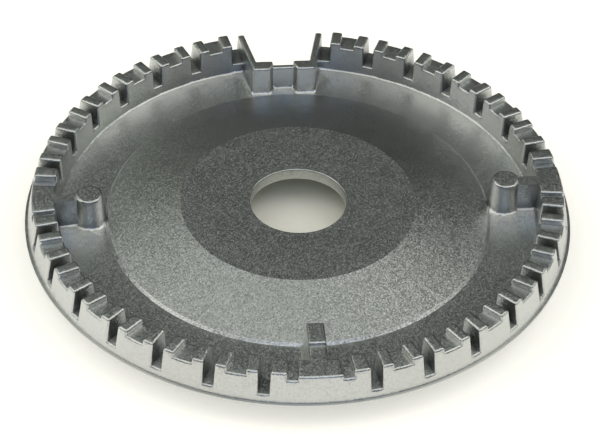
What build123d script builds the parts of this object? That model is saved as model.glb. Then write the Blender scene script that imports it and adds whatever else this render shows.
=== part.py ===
"""Gas burner head: a die-cast disc with a domed plate, a slotted rim, three bosses and an igniter recess.

The Z axis is the bore's axis and points up. The head stands on its skirt at z = 0.
The front boss is at -Y, the igniter recess at +Y.
"""
import os
from math import cos, radians, sin, tan

from build123d import *

# Flange, rim and skirt
flange_r = 50.0
flange_lip = 0.45
flange_thickness = 0.3
flange_height = 4.4
rim_height = 6.1
rim_thickness = 4.1
wall_lean = 1.15
chamber_lean = 0.3
chamber_chamfer = 0.5
skirt_step = 0.9
skirt_wall = 2.5

# Domed plate with its bore
plate_thickness = 2.2
floor_drop = 0.2
floor_width = 8.6
step_height = 0.45
step_run = 0.5
dome_rise = 2.9
annulus_r = 21.6
bore_r = 8.85
bore_edge_break = 0.2

# Slots and stepped teeth of the rim
quarters = 4
slots_per_quarter = 7
slot_width = 1.8
slot_draft = 1.5
slot_depth = 4.4
block_width = 2.2
notch_depth = 1.05
flank_notch_width = 1.75
flank_notch_depth = 1.4
wide_tooth_drop = 0.6

# Bosses: two round columns at the sides and one rib at the front, each with a web to the rim
column_r = 2.48
column_inset = 5.85
side_web_width = 2.3
rib_width = 3.15
rib_length = 8.5
rib_post_length = 5.9
rib_draft = 4.0
column_draft = 2.0
foot_flare = 0.5

# Igniter recess, open outwards between two thin arms
recess_depth = 9.4
recess_end_width = 10.4
recess_splay = 12.0
arm_thickness = 1.35
recess_wall_thickness = 2.75
groove_depth = 1.5
groove_mouth_width = 5.4
groove_floor_width = 4.0
groove_wall_drop = 0.9

# Radii, heights and angles that follow from the sizes above
wall_foot_r = flange_r - flange_lip
wall_top_r = wall_foot_r - wall_lean
chamber_top_r = wall_top_r - rim_thickness
chamber_r = chamber_top_r - chamber_lean
skirt_r = chamber_r + skirt_step
floor_inner_r = chamber_r - floor_width
floor_height = flange_height - floor_drop
annulus_height = floor_height + dome_rise
rim_top = flange_height + rim_height
low_top = rim_top - wide_tooth_drop
slot_floor = rim_top - slot_depth
pitch = 360 / (quarters * (slots_per_quarter + 1))
boss_height = rim_top - floor_height
web_height = low_top - floor_height
web_end_r = (chamber_top_r + 3 * skirt_r) / 4
web_length = web_end_r - chamber_r + column_inset
rib_inner_r = chamber_r - rib_length
column_foot_r = column_r + boss_height * tan(radians(column_draft))
web_foot_width = side_web_width + 2 * web_height * tan(radians(column_draft))
rib_foot_width = rib_width + 2 * web_height * tan(radians(rib_draft))
recess_end_y = wall_top_r - recess_depth
recess_wall_y = recess_end_y - recess_wall_thickness
groove_floor_y = recess_wall_y + groove_depth

# Cuts across the rim start inside it and end outside the flange
rim_cut_inner_r = chamber_r - rim_thickness / 2
rim_cut_outer_r = flange_r + rim_thickness / 2
rim_cut_length = rim_cut_outer_r - rim_cut_inner_r
rim_cut_middle_r = (rim_cut_outer_r + rim_cut_inner_r) / 2

# Outline of the disc's outside, from the skirt's foot to the rim's top
outside = [
    (skirt_r, 0),
    (skirt_r, flange_height),
    (flange_r, flange_height),
    (flange_r, flange_height + flange_thickness),
    (wall_foot_r, flange_height + flange_thickness),
    (wall_top_r, rim_top),
]


def polar(radius, angle):
    return (radius * cos(radians(angle)), radius * sin(radians(angle)))


def mirrored(right_half):
    """A closed outline from its right half, listed from front to back."""
    return right_half + [(-x, y) for x, y in reversed(right_half)]


def rim_sector(half_angle):
    """A wedge across the rim, about the X axis."""
    inner = [polar(rim_cut_inner_r, angle) for angle in (half_angle, -half_angle)]
    outer = [polar(rim_cut_outer_r, angle) for angle in (-half_angle, half_angle)]
    Polygon(*inner, *outer, align=None)


def notch_half_width(radius):
    """Half the gap between a tooth's two blocks, whose sides run parallel to the slots beside them."""
    half_pitch = radians(pitch / 2)
    return radius * tan(half_pitch) - (slot_width / 2 + block_width) / cos(half_pitch)


def recess_half_width(y):
    """Half the recess's width at a distance y behind the bore's axis."""
    return recess_end_width / 2 + (y - recess_end_y) * tan(radians(recess_splay))


def arm_half_width(y):
    """Half the width over both arms at a distance y behind the bore's axis."""
    return recess_half_width(y) + arm_thickness / cos(radians(recess_splay))


def recess_wall_outline():
    """The wall's plan, with the groove in its middle, before the recess is cut."""
    Polygon(
        *mirrored([
            (groove_floor_width / 2, groove_floor_y),
            (groove_mouth_width / 2, recess_wall_y),
            (arm_half_width(recess_wall_y), recess_wall_y),
            (arm_half_width(flange_r), flange_r),
        ]),
        align=None,
    )


# Wall round the recess, from the skirt's foot to the low tooth tops, trimmed to the disc's outside
with BuildPart() as recess_wall:
    with BuildSketch():
        recess_wall_outline()
    extrude(amount=low_top)
    with BuildSketch(Plane.XY.offset(floor_height)):
        recess_wall_outline()
        offset(amount=foot_flare, kind=Kind.INTERSECTION)
    extrude(amount=foot_flare, taper=45)
    with BuildSketch(Plane.XZ):
        Polygon((0, 0), *outside, (0, rim_top), align=None)
    revolve(axis=Axis.Z, mode=Mode.INTERSECT)


with BuildPart() as burner_head:
    # Disc: skirt, flange, rim and domed plate, turned about the bore's axis
    with BuildSketch(Plane.XZ) as section:
        Polygon(
            (0, annulus_height),
            (0, annulus_height - plate_thickness),
            (annulus_r, annulus_height - plate_thickness),
            (floor_inner_r, floor_height - plate_thickness),
            (skirt_r - skirt_wall, floor_height - plate_thickness),
            (skirt_r - skirt_wall, 0),
            *outside,
            (chamber_top_r, rim_top),
            (chamber_r, floor_height),
            (floor_inner_r, floor_height),
            (floor_inner_r - step_run, floor_height + step_height),
            (annulus_r, annulus_height),
            align=None,
        )
        chamber_foot = section.vertices().sort_by_distance((chamber_r, floor_height))[0]
        chamfer(chamber_foot, length=chamber_chamfer)
    revolve(axis=Axis.Z)

    # Gas slots through the rim, in every quarter
    with BuildSketch(Plane.XY.offset(slot_floor)):
        with PolarLocations(0, quarters):
            with PolarLocations(rim_cut_middle_r, slots_per_quarter, pitch, pitch * (slots_per_quarter - 1),
                                endpoint=True):
                Rectangle(rim_cut_length, slot_width)
    extrude(amount=slot_depth, taper=-slot_draft, mode=Mode.SUBTRACT)

    # Notch in the top of every tooth between two slots
    with BuildSketch(Plane.XY.offset(rim_top)):
        with PolarLocations(0, quarters):
            with PolarLocations(0, slots_per_quarter - 1, 1.5 * pitch, pitch * (slots_per_quarter - 2),
                                endpoint=True):
                Polygon(
                    (rim_cut_inner_r, -notch_half_width(rim_cut_inner_r)),
                    (rim_cut_outer_r, -notch_half_width(rim_cut_outer_r)),
                    (rim_cut_outer_r, notch_half_width(rim_cut_outer_r)),
                    (rim_cut_inner_r, notch_half_width(rim_cut_inner_r)),
                    align=None,
                )
    extrude(amount=-notch_depth, mode=Mode.SUBTRACT)

    # Wide low tooth behind each boss, with a deeper notch on either side of it
    with BuildSketch(Plane.XY.offset(rim_top)):
        with PolarLocations(0, quarters - 1, -180, 180, endpoint=True):
            rim_sector(pitch / 2)
    extrude(amount=-wide_tooth_drop, mode=Mode.SUBTRACT)
    with BuildSketch(Plane.XY.offset(rim_top)):
        with PolarLocations(0, quarters - 1, -180, 180, endpoint=True):
            with PolarLocations(rim_cut_middle_r, 2, -pitch / 2, pitch, endpoint=True):
                Rectangle(rim_cut_length, flank_notch_width)
    extrude(amount=-flank_notch_depth, mode=Mode.SUBTRACT)

    # Gap in the rim at the recess, between the slots on either side, and the wall that stands in it
    with BuildSketch(Plane.XY.offset(slot_floor)):
        with PolarLocations(0, 1, 90):
            rim_sector(pitch)
    extrude(amount=slot_depth, mode=Mode.SUBTRACT)
    add(recess_wall.part)

    # Side columns and their webs
    with BuildSketch(Plane.XY.offset(floor_height)):
        with PolarLocations(chamber_r - column_inset, 2):
            Circle(column_foot_r)
    extrude(amount=boss_height, taper=column_draft)
    with BuildSketch(Plane.XY.offset(floor_height)):
        with PolarLocations(web_end_r, 2):
            with Locations((-web_length / 2, 0)):
                Rectangle(web_length, web_foot_width)
    extrude(amount=web_height, taper=column_draft)

    # Front rib and its raised post
    with BuildSketch(Plane.XY.offset(floor_height)):
        with Locations((0, -(rib_inner_r + web_end_r) / 2)):
            Rectangle(rib_foot_width, web_end_r - rib_inner_r)
    extrude(amount=web_height, taper=rib_draft)
    with BuildSketch(Plane.XY.offset(floor_height)):
        with Locations((0, -rib_inner_r - rib_post_length / 2)):
            Rectangle(rib_foot_width, rib_post_length)
    extrude(amount=boss_height, taper=rib_draft)

    # Sloped feet of the columns, webs and rib
    with BuildSketch(Plane.XY.offset(floor_height)):
        with PolarLocations(chamber_r - column_inset, 2):
            Circle(column_foot_r + foot_flare)
    extrude(amount=foot_flare, taper=45)
    with BuildSketch(Plane.XY.offset(floor_height)):
        with PolarLocations(web_end_r, 2):
            with Locations((-web_length / 2, 0)):
                Rectangle(web_length, web_foot_width + 2 * foot_flare)
    extrude(amount=foot_flare, taper=45)
    with BuildSketch(Plane.XY.offset(floor_height)):
        with Locations((0, -(rib_inner_r + web_end_r - foot_flare) / 2)):
            Rectangle(rib_foot_width + 2 * foot_flare, web_end_r - rib_inner_r + foot_flare)
    extrude(amount=foot_flare, taper=45)

    # Recess, cut through from top to bottom, and the lower wall inside its groove
    with BuildSketch():
        Polygon(
            *mirrored([
                (recess_half_width(recess_end_y), recess_end_y),
                (recess_half_width(rim_cut_outer_r), rim_cut_outer_r),
            ]),
            align=None,
        )
    extrude(amount=rim_top, mode=Mode.SUBTRACT)
    with BuildSketch(Plane.XY.offset(low_top)):
        Polygon(
            *mirrored([(groove_floor_width / 2, recess_wall_y), (groove_floor_width / 2, recess_end_y)]),
            align=None,
        )
    extrude(amount=-groove_wall_drop, mode=Mode.SUBTRACT)

    # Bore, with its upper edge broken
    with Locations((0, 0, annulus_height)):
        CounterSinkHole(bore_r, bore_r + bore_edge_break, counter_sink_angle=90)

burner_head.part.label = "burner_head"

os.makedirs("parts", exist_ok=True)
export_step(burner_head.part, "parts/burner_head.step")
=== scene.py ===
"""Looks of the gas burner head: a bead-blasted grey casting on a pale table, seen as in the photograph.

Lengths named *_mm are millimetres; everything handed to Blender is in metres.
"""

from math import cos, radians, sin

import bmesh
import bpy
from mathutils import Matrix, Vector


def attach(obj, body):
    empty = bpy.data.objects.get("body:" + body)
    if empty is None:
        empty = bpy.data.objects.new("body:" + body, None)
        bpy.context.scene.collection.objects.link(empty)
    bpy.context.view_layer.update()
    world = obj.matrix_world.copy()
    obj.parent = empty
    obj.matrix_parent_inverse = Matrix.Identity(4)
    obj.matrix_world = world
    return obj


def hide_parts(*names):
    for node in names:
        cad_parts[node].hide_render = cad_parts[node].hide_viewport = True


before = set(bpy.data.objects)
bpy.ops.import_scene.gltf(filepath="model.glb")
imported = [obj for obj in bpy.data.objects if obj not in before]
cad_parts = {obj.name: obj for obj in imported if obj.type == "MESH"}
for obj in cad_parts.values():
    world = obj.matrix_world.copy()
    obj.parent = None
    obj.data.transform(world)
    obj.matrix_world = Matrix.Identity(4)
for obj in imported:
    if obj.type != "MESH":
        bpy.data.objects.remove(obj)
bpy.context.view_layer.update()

MM = 0.001
NODE = "burner_head"

# Camera of the photograph, measured from the middle of the flange's top
photo_width = 600
focal_px = 2183.9
camera_elevation = radians(40.75)
camera_turn = radians(-5.396)
camera_roll = radians(1.465)
camera_distance_mm = 402.1
aim_mm = (0.398, -1.9)
flange_top_mm = 4.7
sensor_width = 36
clip_start_mm = 10

# Rounded corners of the casting, left out beside edges shorter than a share of the radius
corner_radius_mm = 0.38
corner_segments = 3
corner_angle = radians(35)
corner_profile = 0.5
cramped_share = 0.9

# Mesh cleared of double points, slivers and flat edges before the rounding, and of its seams after it
weld_mm = 0.06
sliver_mm = 0.01
flat_angle = radians(0.5)
seam_mm = 0.002

# The bore's edge and the flange's thin lip aren't rounded
bore_edge_r_mm = 9.2
lip_r_mm = 49.4
lip_top_mm = 4.9

# Shading: rings that stay sharp are the dome's upper edge and both edges of the step at its foot
smooth_angle = radians(50)
flat_face_weight = 100
crease_radii_mm = (21.6, 34.9, 35.4)
crease_slack_mm = 0.1

# Metal: colour and tilt of its grains, blotches of roughness, and painted shade that darkens narrow gaps
# and fades out in open places
grain_mm = 0.20
grain_tilt = 0.21
grain_middle = (0.5, 0.5, 0.5)
dark_grain = (0.54, 0.55, 0.54)
light_grain = (0.60, 0.61, 0.60)
blotches_per_m = 260
blotch_detail = 3.0
low_roughness = 0.30
high_roughness = 0.38
# Painted shade: the metal's colour darkens where the surface is enclosed, within this reach
painted_shade_reach_mm = 4.0
painted_shade_openness = 0.22
painted_shade_color = (0.22, 0.23, 0.24)
unshaded_openness = 0.50
unshaded_color = (1.0, 1.0, 1.0)
openness_samples = 8

# Pale table that glows a little; the glow dimmed beside the part and almost out below it is painted shadow
table_size = 6.0
table_color = (0.92, 0.90, 0.82)
table_roughness = 0.25
table_light = (0.55, 0.53, 0.51)
# Painted shade beside the part, and painted shadow below it that keeps a faint painted bounce light
painted_shade_beside = (0.43, 0.42, 0.40)
painted_shadow_below = (0.03, 0.03, 0.02)
below_r_mm = 43.0
beside_r_mm = 45.0
halo_r_mm = 60.0

# Soft lights round the table: azimuth from the front towards +X, elevation and reach in degrees, and colour
soft_lights = [
    (0, 80, 20, (0.50, 0.50, 0.50)),
    (0, 62, 28, (0.40, 0.41, 0.38)),
    (0, 54, 18, (0.90, 0.90, 0.90)),
    (60, 45, 20, (0.40, 0.40, 0.40)),
    (300, 45, 20, (0.60, 0.60, 0.58)),
    (98, 32, 26, (0.60, 0.60, 0.58)),
    (264, 32, 26, (0.85, 0.85, 0.82)),
    (90, 60, 32, (1.45, 1.42, 1.35)),
    (135, 62, 32, (0.27, 0.30, 0.27)),
    (225, 62, 32, (0.44, 0.47, 0.47)),
    (270, 60, 32, (1.05, 1.03, 0.93)),
    (0, 38, 34, (0.20, 0.30, 0.48)),
    (225, 38, 34, (0.27, 0.30, 0.24)),
    (90, 14, 32, (0.25, 0.33, 0.25)),
    (180, 5, 20, (0.12, 0.13, 0.12)),
    (270, 14, 32, (0.37, 0.40, 0.39)),
]
room_color = (0.005, 0.005, 0.005)


def link(obj):
    bpy.context.scene.collection.objects.link(obj)
    return obj


class Nodes:
    """A material's or world's node tree, with short calls to add and link nodes."""

    # A Mix node has its colours on these inputs and this output
    mix_inputs = (6, 7)
    mix_output = 2

    def __init__(self, tree):
        self.tree = tree
        tree.nodes.clear()

    def add(self, kind, inputs=(), **settings):
        node = self.tree.nodes.new(kind)
        for name, value in settings.items():
            setattr(node, name, value)
        for name, value in dict(inputs).items():
            socket = node.inputs[name]
            if isinstance(value, bpy.types.NodeSocket):
                self.tree.links.new(value, socket)
            else:
                socket.default_value = value
        return node

    def vector(self, operation, *inputs):
        node = self.add("ShaderNodeVectorMath", enumerate(inputs), operation=operation)
        return node.outputs["Value" if operation in ("LENGTH", "DOT_PRODUCT") else "Vector"]

    def ramp(self, factor, *stops):
        node = self.add("ShaderNodeValToRGB", {"Fac": factor})
        elements = node.color_ramp.elements
        while len(elements) < len(stops):
            elements.new(1.0)
        for element, (position, color) in zip(elements, stops):
            element.position = position
            element.color = (*color, 1.0)
        return node.outputs["Color"]

    def multiply(self, *colors):
        node = self.add("ShaderNodeMix", {"Factor": 1.0, **dict(zip(self.mix_inputs, colors))},
                        data_type="RGBA", blend_type="MULTIPLY")
        return node.outputs[self.mix_output]


def material(name):
    made = bpy.data.materials.new(name)
    made.use_nodes = True
    return made, Nodes(made.node_tree)


def cast_aluminium():
    """Bead-blasted aluminium: grains that lean every way, dull blotches, and painted shade in narrow gaps.
    """
    made, nodes = material("cast_aluminium")
    place = nodes.add("ShaderNodeTexCoord").outputs["Object"]
    cells = nodes.add("ShaderNodeTexVoronoi", {"Vector": place, "Scale": 1 / (grain_mm * MM)})
    grain = cells.outputs["Color"]
    metal = nodes.ramp(grain, (0.0, dark_grain), (1.0, light_grain))
    # Painted shade: the base colour is darkened by how enclosed each place is, in slots, gaps and corners
    openness = nodes.add("ShaderNodeAmbientOcclusion", {"Distance": painted_shade_reach_mm * MM},
                         samples=openness_samples)
    painted_shade = nodes.ramp(openness.outputs["AO"], (painted_shade_openness, painted_shade_color), (unshaded_openness, unshaded_color))
    blotch = nodes.add("ShaderNodeTexNoise", {
        "Vector": place, "Scale": blotches_per_m, "Detail": blotch_detail,
    })
    rough = nodes.add("ShaderNodeMapRange", {
        "Value": blotch.outputs["Fac"], "To Min": low_roughness, "To Max": high_roughness,
    })
    lean = nodes.vector("SUBTRACT", grain, grain_middle)
    upright = nodes.add("ShaderNodeNewGeometry").outputs["Normal"]
    tilted = nodes.vector("MULTIPLY_ADD", lean, (grain_tilt, grain_tilt, grain_tilt), upright)
    shader = nodes.add("ShaderNodeBsdfPrincipled", {
        "Base Color": nodes.multiply(metal, painted_shade), "Metallic": 1.0, "Roughness": rough.outputs["Result"],
        "Normal": nodes.vector("NORMALIZE", tilted),
    })
    nodes.add("ShaderNodeOutputMaterial", {"Surface": shader.outputs["BSDF"]})
    return made


def is_corner(edge):
    """Whether an edge is an outer corner that the die leaves rounded, off the bore's edge and the lip."""
    if edge.calc_face_angle_signed(0) < corner_angle:
        return False
    reach = max(vert.co.xy.length for vert in edge.verts)
    top = max(vert.co.z for vert in edge.verts)
    on_lip = reach > lip_r_mm * MM and top < lip_top_mm * MM
    return reach > bore_edge_r_mm * MM and not on_lip


def is_crease(edge):
    """Whether an edge lies on one of the rings that stay sharp."""
    reaches = [vert.co.xy.length / MM for vert in edge.verts]
    for radius in crease_radii_mm:
        if max(abs(reach - radius) for reach in reaches) < crease_slack_mm:
            return True
    return False


def rounded_casting(node):
    """A copy of the casting with its outer corners rounded and its feet shaded as fillets."""
    radius = corner_radius_mm * MM
    mesh = bmesh.new()
    mesh.from_mesh(node.data)
    bmesh.ops.remove_doubles(mesh, verts=mesh.verts, dist=weld_mm * MM)
    bmesh.ops.dissolve_degenerate(mesh, edges=mesh.edges, dist=sliver_mm * MM)
    bmesh.ops.dissolve_limit(mesh, angle_limit=flat_angle, verts=mesh.verts, edges=mesh.edges)
    short = [edge for edge in mesh.edges if edge.calc_length() < cramped_share * radius]
    cramped = {vert for edge in short for vert in edge.verts}
    corners = [edge for edge in mesh.edges if is_corner(edge) and cramped.isdisjoint(edge.verts)]
    bmesh.ops.bevel(mesh, geom=corners, offset=radius, offset_type="OFFSET", segments=corner_segments,
                    profile=corner_profile, affect="EDGES", clamp_overlap=False, loop_slide=False)
    bmesh.ops.remove_doubles(mesh, verts=mesh.verts, dist=seam_mm * MM)
    bmesh.ops.triangulate(mesh, faces=[face for face in mesh.faces if len(face.verts) > 4])
    for edge in mesh.edges:
        edge.smooth = edge.calc_face_angle(0) < smooth_angle and not is_crease(edge)
    for face in mesh.faces:
        face.smooth = True
    made = bpy.data.meshes.new("casting")
    mesh.to_mesh(made)
    mesh.free()
    made.materials.append(cast_aluminium())
    piece = link(bpy.data.objects.new("casting", made))
    normals = piece.modifiers.new("normals", "WEIGHTED_NORMAL")
    normals.weight = flat_face_weight
    normals.keep_sharp = True
    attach(piece, "root")
    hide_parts(NODE)


def white_table():
    """A pale table with a soft glow, dimmed towards the part by the distance from the bore's axis as a
    painted shadow.
    """
    made, nodes = material("white_table")
    place = nodes.add("ShaderNodeTexCoord").outputs["Object"]
    reach = nodes.add("ShaderNodeMapRange", {
        "Value": nodes.vector("LENGTH", place), "From Max": halo_r_mm * MM,
    })
    # Painted shadow: the glow dims beside the part, and below it only a faint painted bounce light is left
    glow = nodes.ramp(reach.outputs["Result"], (below_r_mm / halo_r_mm, painted_shadow_below),
                      (beside_r_mm / halo_r_mm, painted_shade_beside), (1.0, table_light))
    shader = nodes.add("ShaderNodeBsdfPrincipled", {
        "Base Color": (*table_color, 1.0), "Roughness": table_roughness,
        "Emission Color": glow, "Emission Strength": 1.0,
    })
    nodes.add("ShaderNodeOutputMaterial", {"Surface": shader.outputs["BSDF"]})
    return made


def table():
    mesh = bpy.data.meshes.new("table")
    half = table_size / 2
    corners = [(-half, -half, 0), (half, -half, 0), (half, half, 0), (-half, half, 0)]
    mesh.from_pydata(corners, [], [(0, 1, 2, 3)])
    mesh.materials.append(white_table())
    link(bpy.data.objects.new("table", mesh))


def toward(azimuth, elevation):
    """Direction of a light, from the front towards +X and up from the table, in degrees."""
    turn = radians(azimuth)
    rise = radians(elevation)
    return (sin(turn) * cos(rise), -cos(turn) * cos(rise), sin(rise))


def sky():
    """The studio round the table: soft lights in a dark room."""
    world = bpy.data.worlds.new("studio")
    world.use_nodes = True
    bpy.context.scene.world = world
    nodes = Nodes(world.node_tree)
    way = nodes.add("ShaderNodeTexCoord").outputs["Generated"]
    light = nodes.add("ShaderNodeBackground", {"Color": (*room_color, 1.0)}).outputs["Background"]
    for azimuth, elevation, reach, color in soft_lights:
        nearness = nodes.vector("DOT_PRODUCT", way, toward(azimuth, elevation))
        glow = nodes.add("ShaderNodeMapRange", {
            "Value": nearness, "From Min": cos(radians(reach)), "From Max": 1.0,
        }, interpolation_type="SMOOTHSTEP")
        lamp = nodes.add("ShaderNodeBackground", {
            "Color": (*color, 1.0), "Strength": glow.outputs["Result"],
        })
        both = nodes.add("ShaderNodeAddShader", {0: light, 1: lamp.outputs["Background"]})
        light = both.outputs["Shader"]
    nodes.add("ShaderNodeOutputWorld", {"Surface": light})


def camera():
    """The photograph's camera, turned with the part's frame and lifted to the flange's top."""
    turn = Matrix.Rotation(camera_turn, 3, "Z")
    place = camera_distance_mm * Vector((0, -cos(camera_elevation), sin(camera_elevation)))
    ahead = (Vector((*aim_mm, 0)) - place).normalized()
    level = ahead.cross(Vector((0, 0, 1))).normalized()
    upright = level.cross(ahead)
    right = cos(camera_roll) * level + sin(camera_roll) * upright
    up = cos(camera_roll) * upright - sin(camera_roll) * level
    matrix = Matrix([turn @ right, turn @ up, turn @ -ahead]).transposed().to_4x4()
    matrix.translation = (turn @ place + Vector((0, 0, flange_top_mm))) * MM
    data = bpy.data.cameras.new("camera")
    data.sensor_width = sensor_width
    data.lens = sensor_width * focal_px / photo_width
    data.clip_start = clip_start_mm * MM
    obj = link(bpy.data.objects.new("camera", data))
    obj.matrix_world = matrix
    bpy.context.scene.camera = obj


bpy.context.scene.view_settings.view_transform = "Standard"
camera()
sky()
table()
rounded_casting(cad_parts[NODE])
